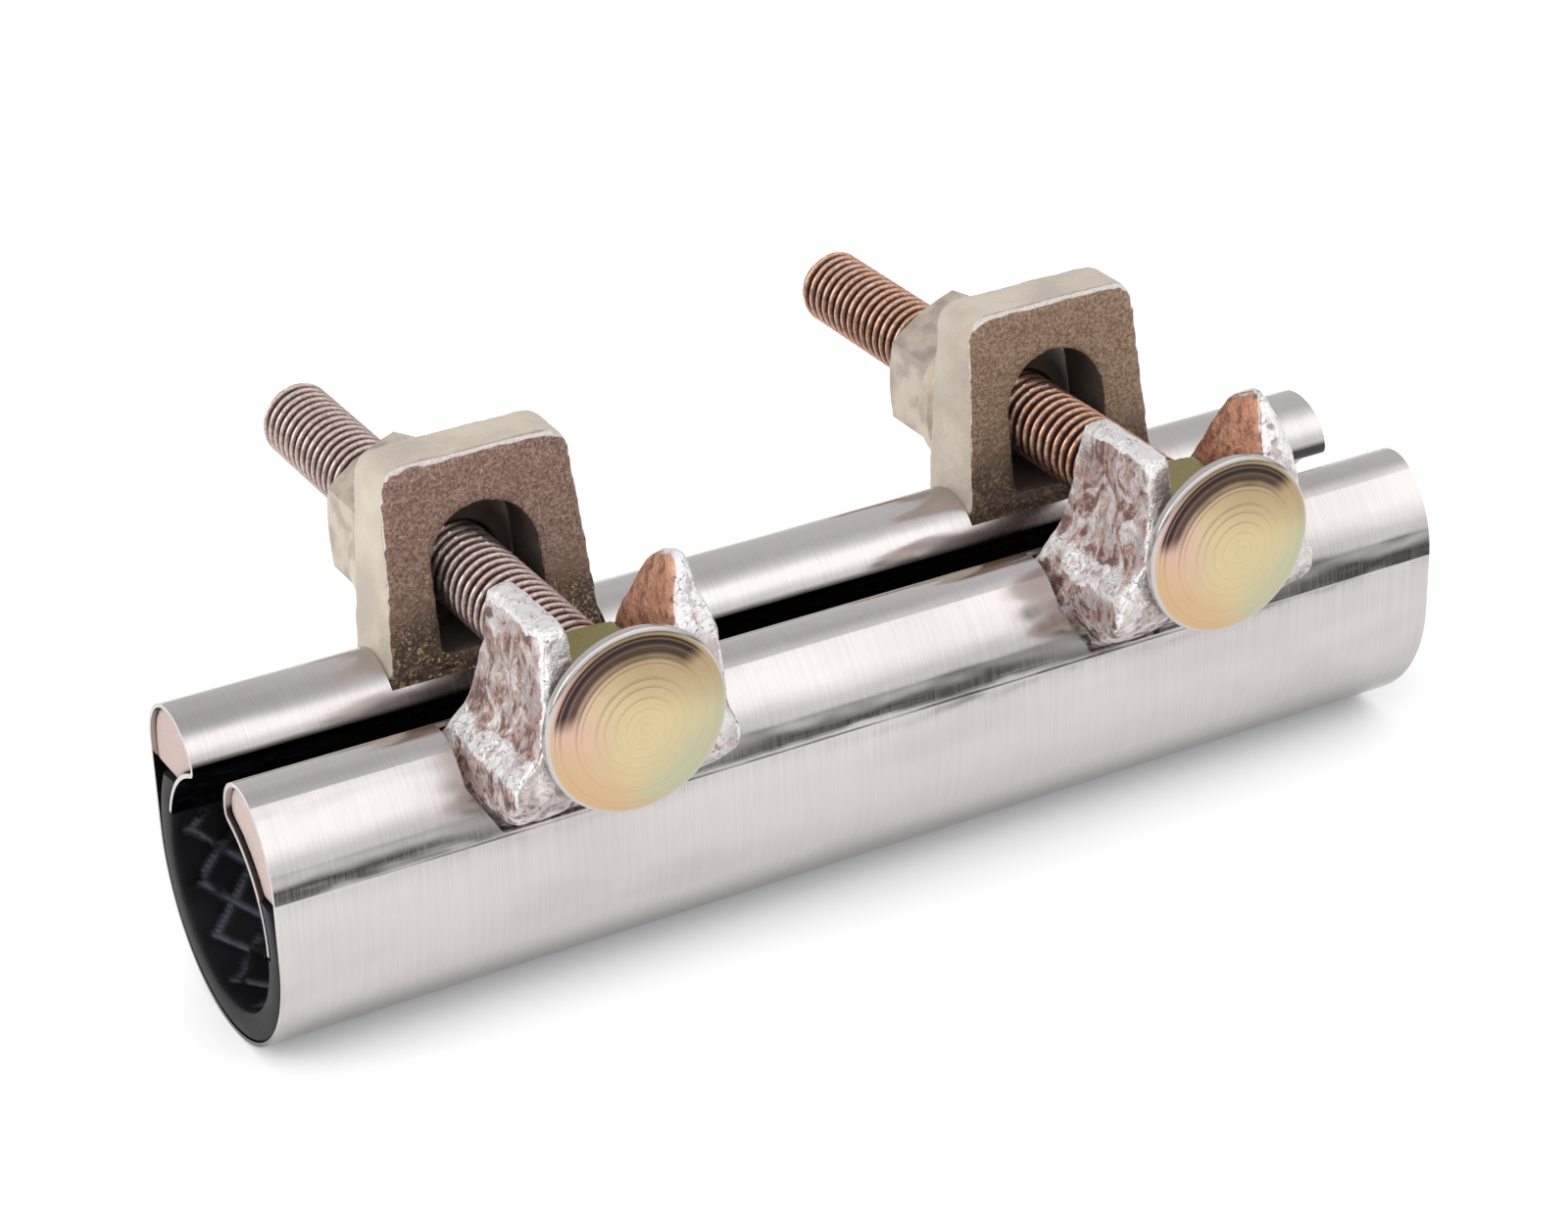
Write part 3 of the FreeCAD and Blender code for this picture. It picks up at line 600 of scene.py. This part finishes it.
def bolt_finish(settings, side, thread):
    """Yellow passivated steel: turned rings and drifting colours on the head, with painted shade and a painted dark
    reflection towards its top, olive neck, painted shade in the thread roots.
    """
    made = Finish("yellow_zinc_bolt_" + side)
    place = made.millimetres()
    x, y, z = made.split(place)
    centre_x, centre_z = (value / MM for value in bolt_place(side))
    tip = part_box("bolt_" + side)[1].y / MM
    across, up = x - centre_x, z - centre_z
    radius = (across * across + up * up) ** 0.5
    drift = made.noise(place, 0.22, 3, 0.5)
    grain = made.noise(place, 2.4, 4, 0.65)
    wave = (drift - 0.5) * 5

    shaded, ring_reflection_brown, dark_reflection_black, rim_grey = (
        (0.25, 0.15, 0.09), (0.2, 0.14, 0.1), (0.03, 0.018, 0.018), (0.5, 0.47, 0.45))
    left = made.step(across + wave, -2.0, -9.5)
    low_left = made.step(across + up + wave, -5.0, -13.0)
    low_right = made.step(across - up + wave, 3.0, 13.0)
    tone = made.mixed(low_right * 0.8, settings.head_yellow, settings.head_green)
    tone = made.mixed(low_left * 0.85, tone, settings.head_orange)
    tone = made.mixed(left * (1 - low_left) * 0.9, tone, settings.head_pink)
    tone = made.mixed(made.step(up + across * 0.35 + wave * 0.25, 1.0, 8.0) * 0.55, tone, shaded)
    turned = made.noise(made.node("ShaderNodeCombineXYZ", None, {0: radius, 1: 0.0, 2: 0.0}), 2.4, 2, 0.5)
    head = 1 - made.step(y, -27.0, -26.9)
    # the turned rings, painted darker towards the top as a painted reflection
    upper = made.step(up - across * 0.3, 0.0, 8.5)
    arcs = made.step(turned + (grain - 0.5) * 0.12, 0.5, 0.6) * (0.08 + upper * 0.72)
    tone = made.mixed(arcs, tone, ring_reflection_brown)
    # painted reflection: a near-black band inside the upper part of the head's rim
    dark = made.step(radius + wave * 0.15, 7.4, 8.5) * made.step(up - across * 0.25 + wave * 0.2, 3.2, 5.6)
    dark = dark * (1 - made.step(radius, 9.9, 10.3))
    tone = made.mixed(dark * (0.7 + made.step(turned, 0.4, 0.55) * 0.27), tone, dark_reflection_black)
    tone = made.mixed(made.step(radius, 10.3, 10.5), tone, rim_grey)
    neck = made.mixed(made.step(grain, 0.45, 0.7), settings.neck_olive, (0.2, 0.16, 0.05))
    # painted shade in the thread's roots, kept off the tip's end face
    root = 1 - made.step(radius + (grain - 0.5) * 0.3 + made.step(y, tip - 0.3, tip - 0.1) * 5, 4.25, 4.74)
    screw = made.mixed(root, made.mixed(made.step(grain, 0.4, 0.65) * 0.6, thread, (0.62, 0.55, 0.5)),
                       settings.thread_root_shade)
    shaft = made.mixed(made.step(y, -14.6, -14.2), neck, screw)
    tone = made.mixed(head, shaft, tone)
    rough = 0.15 + grain * 0.08 + (1 - head) * 0.12
    # the dome is flatter than a ball towards its rim
    flatter = made.bump(radius * radius / 116 * head, 1.0, 1.0)
    relief = made.bump(turned * head + grain * (1 - head) * 0.5, 0.4, 0.07, flatter)
    return made.surface(Base_Color=tone, Metallic=0.92, Roughness=rough, Normal=relief)


def washer_finish(settings):
    """Beige plated washer, finely pitted, with painted shade on the dome that faces the slot."""
    made = Finish("washer_zinc")
    place = made.millimetres()
    dome = 1 - made.step(made.split(place)[1], 17.6, 18.4)
    grain = made.noise(place, 1.8, 5, 0.65)
    broad = made.noise(place, 0.25, 3, 0.5)
    tone = made.mixed(made.step(broad, 0.4, 0.65), settings.skin, (0.42, 0.36, 0.28))
    tone = made.mixed(made.step(grain, 0.6, 0.75) * 0.5, tone, (0.2, 0.15, 0.11))
    # painted shade: the dome inside the slot is painted near black
    tone = made.mixed(dome * 0.9, tone, (0.06, 0.04, 0.03))
    return made.surface(
        Base_Color=tone, Metallic=0.6, Roughness=0.36 + grain * 0.2 + dome * 0.3,
        Normal=made.bump(grain, 0.5, 0.12))


def nut_finish(settings):
    """Plated nut with rough, dappled flats."""
    made = Finish("nut_zinc")
    place = made.millimetres()
    grain = made.noise(place, 1.4, 5, 0.7)
    broad = made.noise(place, 0.3, 3, 0.5)
    tone = made.mixed(made.step(broad, 0.38, 0.65), settings.skin, settings.shade)
    tone = made.mixed(made.step(grain, 0.58, 0.72) * 0.4, tone, (0.66, 0.6, 0.5))
    tone = made.mixed(made.step(grain, 0.4, 0.28) * 0.5, tone, (0.16, 0.12, 0.11))
    return made.surface(
        Base_Color=tone, Metallic=0.7, Roughness=0.34 + grain * 0.25, Normal=made.bump(grain, 0.6, 0.18))


# Pieces


class CLAMP_OT_band(Operator):
    """Gives the stainless band its brushed finish"""

    bl_idname = "clamp.band"
    bl_label = "Band"

    def execute(self, context):
        band = frame["nodes"]["stainless_band"]
        finish = steel_finish(context.scene.clamp_band)
        for slot in band.material_slots:
            slot.link = "OBJECT"
            slot.material = finish
        return {"FINISHED"}


def gasket_section(settings, angle_lines):
    """Inner and outer points of the gasket's section at each angle, counted from +Y towards +Z.

    The inner radius is the pipe's up to the steps and larger beyond them, where the tails lie. The outer
    radius is the band's, and its angles are pulled in towards the ends so that the ends' faces are level."""
    inner = mount_radius()
    low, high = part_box("rubber_gasket")
    outer = -low.z
    face = inner + settings.step_depth
    lug_step, fork_step = math.asin(settings.lug_step / inner), math.pi - math.asin(settings.fork_step / inner)
    starts = [fork_step - FULL_TURN, lug_step]
    inner_radius = np.where((angle_lines < starts[0]) | (angle_lines > starts[1]), face, inner)
    ends = [math.pi - math.asin(settings.fork_top / face) - FULL_TURN, math.asin(high.z / face)]
    outer_ends = [math.pi - math.asin(settings.fork_top / outer) - FULL_TURN, math.asin(high.z / outer)]
    outer_angle = np.interp(angle_lines, [ends[0], *starts, ends[1]], [outer_ends[0], *starts, outer_ends[1]])
    return inner_radius, outer, outer_angle


class CLAMP_OT_gasket(Operator):
    """Makes the rubber gasket with its lattice of crossing grooves"""

    bl_idname = "clamp.gasket"
    bl_label = "Gasket"

    def execute(self, context):
        settings = context.scene.clamp_gasket
        inner = mount_radius()
        low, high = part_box("rubber_gasket")
        face = inner + settings.step_depth
        lug_step = math.asin(settings.lug_step / inner)
        fork_step = -math.pi - math.asin(settings.fork_step / inner)
        lug_end = math.asin(high.z / face)
        fork_end = -math.pi - math.asin(settings.fork_top / face)
        cell = settings.pitch / 14
        around = np.arange(fork_step + 0.05, lug_step - 0.05, cell / inner)
        along = np.arange(low.x + settings.lip, high.x - settings.lip, cell)
        tiny = 1e-4
        turn = np.concatenate([
            np.linspace(fork_end, fork_step - tiny, 6), [fork_step + tiny], around, [lug_step - tiny],
            np.linspace(lug_step + tiny, lug_end, 6)])
        rounding = 0.35 * MM
        rows = np.concatenate([
            [low.x, low.x + rounding / 3, low.x + rounding], [low.x + settings.lip / 2], along,
            [high.x - settings.lip / 2], [high.x - rounding, high.x - rounding / 3, high.x]])
        inner_radius, outer, outer_turn = gasket_section(settings, turn)

        # a groove's share of its depth falls to nothing at half its width from the nearest line of either
        # family, x + arc or x - arc = a whole number of pitches and a half
        run = (along[:, None] - along[0]) / settings.pitch
        arc = (around[None, :] - around[0]) * inner / settings.pitch
        nearest = np.minimum(abs((run + arc) % 1 - 0.5), abs((run - arc) % 1 - 0.5)) * settings.pitch / 2 ** 0.5
        share = np.zeros((len(rows), len(turn)))
        share[4:4 + len(along), 7:7 + len(around)] = np.clip(1 - nearest / (settings.groove / 2), 0, 1)
        inner_rings = inner_radius[None, :] + share * settings.depth
        outer_rings = np.full_like(inner_rings, outer)
        # the ends' edges are rounded off
        from_end = np.minimum(rows - low.x, high.x - rows)
        pull = rounding - np.sqrt(np.maximum(rounding ** 2 - np.maximum(rounding - from_end, 0) ** 2, 0))
        inner_rings = inner_rings + pull[:, None]
        outer_rings = outer_rings - pull[:, None]
        radii = np.concatenate([inner_rings, outer_rings[:, ::-1]], axis=1)
        turns = np.concatenate([turn, outer_turn[::-1]])
        x = np.broadcast_to(rows[:, None], radii.shape)
        rings = np.stack([x, radii * np.cos(turns), radii * np.sin(turns)], axis=-1)
        vertices = rings.reshape(-1, 3)
        count, columns = radii.shape
        one = np.arange(len(turn) - 1)
        other = columns - 1 - one
        start = np.stack([one + 1, one, other, other - 1], axis=-1)
        end = start[:, ::-1] + (count - 1) * columns
        faces = outward(vertices, np.concatenate([grid_faces(count, columns, False), start, end]))
        piece = add_piece(
            "waffle_gasket", vertices, faces.tolist(), rubber_finish(settings), "root",
            ["rubber_gasket"], sharp=50)
        shares = np.concatenate([share, np.zeros_like(share)], axis=1)
        piece.data.attributes.new("groove", "FLOAT", "POINT").data.foreach_set("value", shares.ravel())
        return {"FINISHED"}


def cast_piece(name, node, settings, material, rounds, grain, seed):
    """A casting: its node's mesh made even, smoothed, more rounds of it round the bolts, and worn inwards.

    Round the bolts every point moves against its normal by the sum of the grain's layers, each a depth times
    noise of a cell size, and everywhere a little more on outer edges, so the casting stays inside its node."""
    mesh = frame["nodes"][node].data.copy()
    piece = bpy.data.objects.new(name, mesh)
    bpy.context.scene.collection.objects.link(piece)
    weld = piece.modifiers.new("weld", "WELD")
    weld.merge_threshold = 1e-6
    remesh = piece.modifiers.new("remesh", "REMESH")
    remesh.mode = "VOXEL"
    remesh.voxel_size = settings.voxel
    evaluated = piece.evaluated_get(bpy.context.evaluated_depsgraph_get())
    made = bpy.data.meshes.new_from_object(evaluated)
    bpy.data.objects.remove(piece)
    bpy.data.meshes.remove(mesh)
    count = len(made.vertices)
    points = np.empty(count * 3)
    made.vertices.foreach_get("co", points)
    points = points.reshape(-1, 3)
    edges = np.empty(len(made.edges) * 2, np.int32)
    made.edges.foreach_get("vertices", edges)
    edges = edges.reshape(-1, 2)
    links = np.bincount(edges.ravel(), minlength=count)[:, None]

    def neighbours(values):
        """Mean of each point's neighbours."""
        total = np.zeros_like(values)
        np.add.at(total, edges[:, 0], values[edges[:, 1]])
        np.add.at(total, edges[:, 1], values[edges[:, 0]])
        return total / np.maximum(links, 1)

    fade, even_rounds, sharpest = 2 * MM, 2, 0.06 * settings.voxel
    across = np.abs(np.abs(points[:, 0]) - abs(bolt_place("left")[0]))
    raised = np.clip((settings.reach - across) / fade, 0, 1)
    for _ in range(even_rounds):
        points = (points + neighbours(points)) / 2
    for _ in range(rounds):
        points = points + raised[:, None] * (neighbours(points) - points) / 2
    made.vertices.foreach_set("co", points.ravel())
    made.update()
    normals = np.empty(count * 3, np.float32)
    made.vertex_normals.foreach_get("vector", normals)
    normals = normals.reshape(-1, 3)
    bend = np.einsum("ij,ij->i", points - neighbours(points), normals)[:, None]
    for _ in range(3):
        bend = neighbours(bend)
    bend = np.clip(bend / sharpest, -1, 1)[:, 0]
    worn = sum(depth * lattice_noise(points, cell, seed + index) for index, (cell, depth) in enumerate(grain))
    worn = worn * raised + grain[1][1] * (0.4 + raised) * np.maximum(bend, 0)
    points = points - normals * worn[:, None]
    made.vertices.foreach_set("co", points.ravel())
    made.attributes.new("edge", "FLOAT", "POINT").data.foreach_set("value", bend.astype(np.float32))
    made.name = name
    made.materials.clear()
    made.materials.append(material)
    return place_piece(name, made, "root", [node], 180)


class CLAMP_OT_castings(Operator):
    """Makes the two castings with their sand-cast skin"""

    bl_idname = "clamp.castings"
    bl_label = "Castings"

    def execute(self, context):
        settings = context.scene.clamp_casting
        fork_grain = [
            (4.2 * MM, settings.fork_lumps), (1.5 * MM, settings.fork_grain), (0.7 * MM, settings.fork_grain / 2)]
        lug_grain = [
            (5.0 * MM, settings.lug_grain), (1.2 * MM, settings.lug_grain), (0.6 * MM, settings.lug_grain)]
        cast_piece(
            "fork_casting", "fork_bar", settings, fork_finish(settings),
            rounds=14, grain=fork_grain, seed=11)
        cast_piece(
            "lug_casting", "lug_bar", settings, lug_finish(settings),
            rounds=1, grain=lug_grain, seed=23)
        return {"FINISHED"}


def bolt_rings(settings, side):
    """Radius of a bolt at places along its axis, from the top of its head to its tip.

    The head is a ball of the radius that joins its top to its rim. The neck's radius at angle t is that of a
    rounded square, half width / (|cos t|^n + |sin t|^n)^(1/n). The thread's radius falls from its crest to
    its root and back once a pitch, and the crest moves along by one pitch for each turn round."""
    low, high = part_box("bolt_" + side)
    top, tip = low.y, high.y
    head = (high.x - low.x) / 2
    columns = settings.columns
    turn = angles(columns)
    under, rim = settings.under_head, settings.head_rim
    rise = under - rim - top
    ball = (head ** 2 + rise ** 2) / (2 * rise)
    rounding = 0.3 * MM
    flat = np.ones(columns)
    corner_power = 18
    square = settings.neck_half / (
        np.abs(np.cos(turn)) ** corner_power + np.abs(np.sin(turn)) ** corner_power) ** (1 / corner_power)

    dome = np.linspace(0.03, 0.97, 26) * head
    places = [top + ball - np.sqrt(ball ** 2 - dome ** 2)]
    radii = [dome[:, None] * flat]
    cosine, sine = quarter(-65, 0, 5)
    places.append(under - rim + rounding + rounding * sine)
    radii.append((head - rounding + rounding * cosine)[:, None] * flat)
    cosine, sine = quarter(0, 90, 6)
    places.append(under - rounding + rounding * sine)
    radii.append((head - rounding + rounding * cosine)[:, None] * flat)
    share = np.linspace(0.2, 1, 5)[:, None]
    places.append(np.full(5, under))
    radii.append((head - rounding) * (1 - share) + square * share)
    neck_end = under + settings.neck_length
    places.append(np.linspace(under + 0.2 * MM, neck_end - 0.9 * MM, 8))
    radii.append(np.broadcast_to(square, (8, columns)))

    step = settings.pitch / settings.thread_steps
    along = np.arange(neck_end - 0.9 * MM + step, tip, step)
    phase = (along[:, None] / settings.pitch + turn / FULL_TURN) % 1
    from_crest = np.abs(phase - 0.5) * 2
    root = settings.shaft_radius - settings.thread_depth
    thread = root + settings.thread_depth * np.clip((0.86 - from_crest) / 0.72, 0, 1)
    shoulder = np.clip((neck_end - along) / (0.9 * MM), 0, 1)[:, None]
    screw = np.where(shoulder > 0, np.maximum(np.minimum(square, root + 3 * MM * shoulder), thread), thread)
    tip_limit = settings.shaft_radius - settings.chamfer + (tip - along)
    places.append(along)
    radii.append(np.minimum(screw, tip_limit[:, None]))
    places.append(np.full(3, tip))
    radii.append(np.linspace(1, 0.3, 3)[:, None] * (settings.shaft_radius - settings.chamfer) * flat)
    return np.concatenate(places), np.concatenate(radii)


class CLAMP_OT_bolts(Operator):
    """Makes the bolts with their domed heads, square necks and threads"""

    bl_idname = "clamp.bolts"
    bl_label = "Bolts"

    def execute(self, context):
        settings = context.scene.clamp_bolt
        threads = {"left": settings.thread_left, "right": settings.thread_right}
        for side in SIDES:
            vertices, faces = closed_by_poles(about_bolt(side, *bolt_rings(settings, side)))
            add_piece(
                "threaded_bolt_" + side, vertices, faces, bolt_finish(settings, side, threads[side]),
                "bolt_" + side, ["bolt_" + side], sharp=50)
        return {"FINISHED"}


class CLAMP_OT_washers(Operator):
    """Makes the domed washers"""

    bl_idname = "clamp.washers"
    bl_label = "Washers"

    def execute(self, context):
        settings = context.scene.clamp_washer
        finish = washer_finish(settings)
        columns = 96
        for side in SIDES:
            low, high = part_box("washer_" + side)
            back, outer = high.y, (high.x - low.x) / 2
            rounding = 0.5 * MM
            reach = np.linspace(settings.nose, settings.ball_edge, 14)
            dome = settings.ball_centre - np.sqrt(settings.ball ** 2 - reach ** 2)
            mouth = settings.bore + 0.25 * MM
            reach = np.concatenate([[mouth, settings.nose - 0.2 * MM], reach])
            dome = np.concatenate([[dome[0], dome[0]], dome])
            cosine, sine = quarter(-40, 0, 5)
            front = back - settings.rim
            front_rim = [outer - rounding + rounding * cosine, front + rounding + rounding * sine]
            cosine, sine = quarter(0, 90, 7)
            back_rim = [outer - rounding + rounding * cosine, back - rounding + rounding * sine]
            radius = np.concatenate([
                reach, front_rim[0], back_rim[0], [settings.bore + 0.3 * MM, settings.bore, settings.bore]])
            place = np.concatenate([
                dome, front_rim[1], back_rim[1], [back, back - 0.3 * MM, dome[0] + 0.25 * MM]])
            radii = np.broadcast_to(radius[:, None], (len(radius), columns))
            vertices, faces = closed_as_ring(about_bolt(side, place, radii))
            add_piece(
                "domed_washer_" + side, vertices, faces, finish, "seat_" + side,
                ["washer_" + side], sharp=40)
        return {"FINISHED"}


class CLAMP_OT_nuts(Operator):
    """Makes the hexagon nuts"""

    bl_idname = "clamp.nuts"
    bl_label = "Nuts"

    def execute(self, context):
        settings = context.scene.clamp_nut
        finish = nut_finish(settings)
        columns = 144
        turn = angles(columns)
        sixth = FULL_TURN / 6
        # a hexagon's radius is half its width across the flats over the cosine of the angle from the
        # middle of the nearest flat
        hexagon = settings.half_flats / np.cos((turn + sixth / 2) % sixth - sixth / 2)
        circle = settings.half_flats - settings.face_inset
        fall = (hexagon.max() - circle) * math.tan(math.radians(30))
        for side in SIDES:
            low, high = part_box("nut_" + side)
            front, back = low.y, high.y
            share = np.linspace(0, 1, 12)
            cone = circle + (hexagon.max() - circle) * share
            place = np.concatenate([
                front + fall * share, np.linspace(front + fall, back - fall, 8)[1:-1], back - fall * share[::-1],
                [back, back - settings.mouth, front + settings.mouth, front]])
            limit = np.concatenate([
                cone, np.full(6, hexagon.max()), cone[::-1],
                [settings.bore + settings.mouth, settings.bore, settings.bore, settings.bore + settings.mouth]])
            radii = np.minimum(limit[:, None], hexagon)
            vertices, faces = closed_as_ring(about_bolt(side, place, radii))
            add_piece(
                "hexagon_nut_" + side, vertices, faces, finish, "nut_" + side, ["nut_" + side],
                sharp=20)
        return {"FINISHED"}


# Stage


def add_lamp(name, place, target, size, radiance):
    """A soft rectangular lamp of even brightness that looks at a point."""
    lamp = bpy.data.lights.new(name, "AREA")
    lamp.shape = "RECTANGLE"
    lamp.size, lamp.size_y = size
    lamp.energy = radiance * math.pi * size[0] * size[1]
    holder = bpy.data.objects.new(name, lamp)
    aim = np.array(target) - np.array(place)
    back = -aim / np.linalg.norm(aim)
    right = np.cross((0, 1, 0), back)
    right = right / np.linalg.norm(right)
    holder.matrix_world = posed(right, np.cross(back, right), back, place)
    bpy.context.scene.collection.objects.link(holder)


def posed(right, up, back, place):
    """The matrix of a camera or lamp with these axes."""
    turn = Matrix((right, up, back)).transposed()
    return Matrix.Translation(place) @ turn.to_4x4()


def studio_world():
    """A white room: dark just over the horizon in front, brightest half way up, greyer overhead and behind."""
    made = Finish("studio", bpy.data.worlds.new("studio"))
    _, y, z = made.split(made.node("ShaderNodeTexCoord", out="Generated"))
    front = made.step(0 - y, -0.3, 0.45)
    rising = made.mixed(made.step(z, 0.05, 0.2), (0.02, 0.02, 0.022), (1.1, 1.1, 1.12))
    rising = made.mixed(made.step(z, 0.3, 0.66), rising, (1.85, 1.85, 1.88))
    low = made.mixed(front, (0.8, 0.8, 0.81), rising)
    tone = made.mixed(made.step(z, 0.76, 0.99), low, (0.68, 0.68, 0.69))
    tone = made.mixed(made.node("ShaderNodeLightPath", out="Is Camera Ray"), tone, (1, 1, 1))
    light = made.node("ShaderNodeBackground", None, {"Color": tone, "Strength": 1.0})
    made.node("ShaderNodeOutputWorld", None, {"Surface": light})
    bpy.context.scene.world = made.kept


class CLAMP_OT_stage(Operator):
    """Makes the floor, the light and the camera"""

    bl_idname = "clamp.stage"
    bl_label = "Stage"

    def execute(self, context):
        settings = context.scene.clamp_stage
        half, level = settings.floor_size / 2, cad_box[0].z - 0.02 * MM
        corners = np.array([(-half, -half, level), (half, -half, level), (half, half, level), (-half, half, level)])
        mesh = bpy.data.meshes.new("floor")
        mesh.from_pydata(corners, [], [(0, 1, 2, 3)])
        made = Finish("floor")
        mottle = made.noise(made.millimetres(), 0.004, 2, 0.5)
        tone = made.mixed(mottle, settings.floor, (0.95, 0.95, 0.95))
        mesh.materials.append(made.surface(
            Base_Color=tone, Roughness=0.7, Emission_Color=tone, Emission_Strength=settings.glow))
        floor = bpy.data.objects.new("floor", mesh)
        context.scene.collection.objects.link(floor)
        studio_world()
        add_lamp("side", (-0.85, -0.1, 0.45), (0, 0, 0), (0.5, 0.5), 3.2)

        turn, rise, roll = settings.azimuth, settings.elevation, settings.roll
        back = np.array([
            math.sin(turn) * math.cos(rise), -math.cos(turn) * math.cos(rise), math.sin(rise)])
        right = np.array([math.cos(turn), math.sin(turn), 0])
        up = np.cross(back, right)
        right, up = (
            math.cos(roll) * right - math.sin(roll) * up, math.sin(roll) * right + math.cos(roll) * up)
        place = settings.distance * back - settings.aside * right + settings.below * up
        camera = bpy.data.cameras.new("camera")
        camera.lens = settings.lens
        camera.sensor_width = 36
        camera.clip_start = 0.01
        holder = bpy.data.objects.new("camera", camera)
        holder.matrix_world = posed(right, up, back, place)
        context.scene.collection.objects.link(holder)
        context.scene.camera = holder
        context.scene.view_settings.view_transform = "Standard"
        return {"FINISHED"}


class CLAMP_PT_panel(Panel):
    """Lists the clamp's pieces and the stage"""

    bl_idname = "CLAMP_PT_panel"
    bl_label = "Pipe repair clamp"
    bl_space_type = "VIEW_3D"
    bl_region_type = "UI"
    bl_category = "Clamp"

    def draw(self, context):
        for operator, settings in STEPS.items():
            box = self.layout.box()
            box.operator(operator.bl_idname)
            group = getattr(context.scene, settings)
            for name in group.__annotations__:
                box.prop(group, name)


STEPS = {
    CLAMP_OT_band: "clamp_band",
    CLAMP_OT_gasket: "clamp_gasket",
    CLAMP_OT_castings: "clamp_casting",
    CLAMP_OT_bolts: "clamp_bolt",
    CLAMP_OT_washers: "clamp_washer",
    CLAMP_OT_nuts: "clamp_nut",
    CLAMP_OT_stage: "clamp_stage",
}
SETTINGS = {
    "clamp_band": BandSettings,
    "clamp_gasket": GasketSettings,
    "clamp_casting": CastingSettings,
    "clamp_bolt": BoltSettings,
    "clamp_washer": WasherSettings,
    "clamp_nut": NutSettings,
    "clamp_stage": StageSettings,
}


def register():
    for name, group in SETTINGS.items():
        bpy.utils.register_class(group)
        setattr(bpy.types.Scene, name, PointerProperty(type=group))
    for operator in STEPS:
        bpy.utils.register_class(operator)
    bpy.utils.register_class(CLAMP_PT_panel)


def unregister():
    bpy.utils.unregister_class(CLAMP_PT_panel)
    for operator in STEPS:
        bpy.utils.unregister_class(operator)
    for name, group in SETTINGS.items():
        delattr(bpy.types.Scene, name)
        bpy.utils.unregister_class(group)


def main():
    register()
    for operator in STEPS:
        getattr(bpy.ops.clamp, operator.bl_idname.split(".")[1])()


if __name__ == "__main__":
    main()
